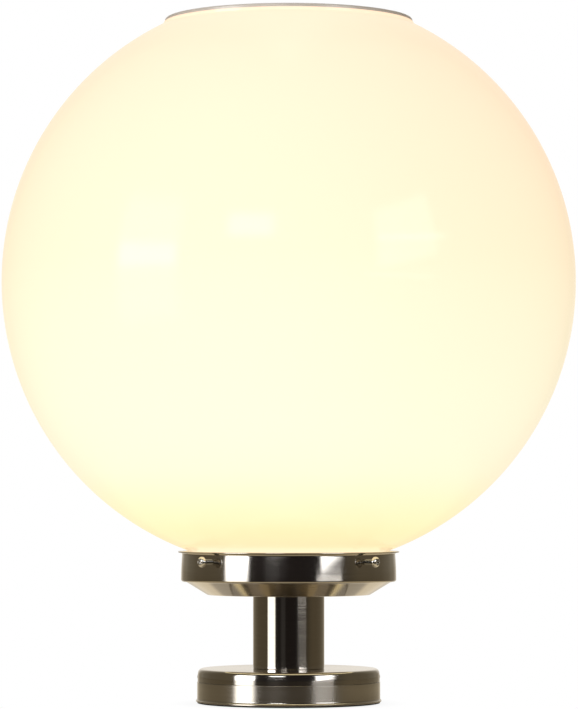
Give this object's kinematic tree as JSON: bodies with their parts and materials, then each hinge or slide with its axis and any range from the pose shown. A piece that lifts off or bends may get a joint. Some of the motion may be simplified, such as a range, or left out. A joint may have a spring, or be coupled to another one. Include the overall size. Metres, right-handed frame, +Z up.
{
  "type": "solar pillar light",
  "caption": "Pillar-top garden light: a lit opal globe in a stainless gallery on a short stem and round base, with a lift-off solar head in the globe's top.",
  "frame": {"origin": "centre of the base's underside, on the pillar's top", "axes": "+Z up along the stem, the front of the picture faces -Y"},
  "size_m": [0.3, 0.2998, 0.3577],
  "materials": {
    "opal": "glossy opal acrylic, lit from inside",
    "stainless": "polished stainless sheet with fine turning marks",
    "polished_steel": "polished",
    "plated_steel": "zinc plated",
    "rubber": "matt",
    "bush_plastic": "moulded",
    "rim_plastic": "satin silver grey",
    "panel_glass": "clear",
    "panel_board": "black laminate",
    "solar_cell": "dark blue silicon",
    "lens": "frosted",
    "light_board": "white solder mask",
    "light_chip": "yellow phosphor",
    "holder_plastic": "black moulding",
    "contact_metal": "nickel plated",
    "cell_wrap": "plain shrink sleeve",
    "circuit_board": "green solder mask",
    "lead_insulation": "insulated wire",
    "button_plastic": "moulded"
  },
  "bodies": {
    "stand": {"globe": "opal", "foot_ring": "stainless", "canopy": "stainless", "stem_tube": "stainless", "gallery": "stainless", "canopy_screws": "polished_steel", "tie_rod": "plated_steel", "canopy_washer": "plated_steel", "canopy_nut": "plated_steel", "gallery_washer": "plated_steel", "gallery_nut": "plated_steel", "base_gasket": "rubber", "globe_seat": "rubber", "lower_bush": "bush_plastic", "upper_bush": "bush_plastic"},
    "set_screw_1": {"set_screw_1": "polished_steel"},
    "set_screw_2": {"set_screw_2": "polished_steel"},
    "set_screw_3": {"set_screw_3": "polished_steel"},
    "set_screw_4": {"set_screw_4": "polished_steel"},
    "solar_head": {"head_shell": "rim_plastic", "head_seal": "rubber", "solar_cover": "panel_glass", "solar_board": "panel_board", "solar_cells": "solar_cell", "bottom_cover": "rim_plastic", "cover_screws": "plated_steel", "led_board": "light_board", "leds": "light_chip", "led_lens": "lens", "battery_holder": "holder_plastic", "battery_contacts": "contact_metal", "battery_cell": "cell_wrap", "battery_leads": "lead_insulation", "control_board": "circuit_board", "control_parts": "holder_plastic", "board_screws": "plated_steel", "panel_leads": "lead_insulation", "led_leads": "lead_insulation", "switch_body": "holder_plastic"},
    "switch_button": {"switch_button": "button_plastic"}
  },
  "joints": [
    {"name": "set_screw_1_back_out", "type": "slide", "parent": "stand", "child": "set_screw_1", "axis": [0.7071, 0.7071, 0], "range_m": [0, 0.0045]},
    {"name": "set_screw_2_back_out", "type": "slide", "parent": "stand", "child": "set_screw_2", "axis": [-0.7071, 0.7071, 0], "range_m": [0, 0.0045]},
    {"name": "set_screw_3_back_out", "type": "slide", "parent": "stand", "child": "set_screw_3", "axis": [-0.7071, -0.7071, 0], "range_m": [0, 0.0045]},
    {"name": "set_screw_4_back_out", "type": "slide", "parent": "stand", "child": "set_screw_4", "axis": [0.7071, -0.7071, 0], "range_m": [0, 0.0045]},
    {"name": "head_lift", "type": "slide", "parent": "stand", "child": "solar_head", "axis": [0, 0, 1], "range_m": [0, 0.06]},
    {"name": "switch_press", "type": "slide", "parent": "solar_head", "child": "switch_button", "axis": [0, 0, 1], "range_m": [0, 0.0015], "stiffness_N_per_m": 300}
  ]
}
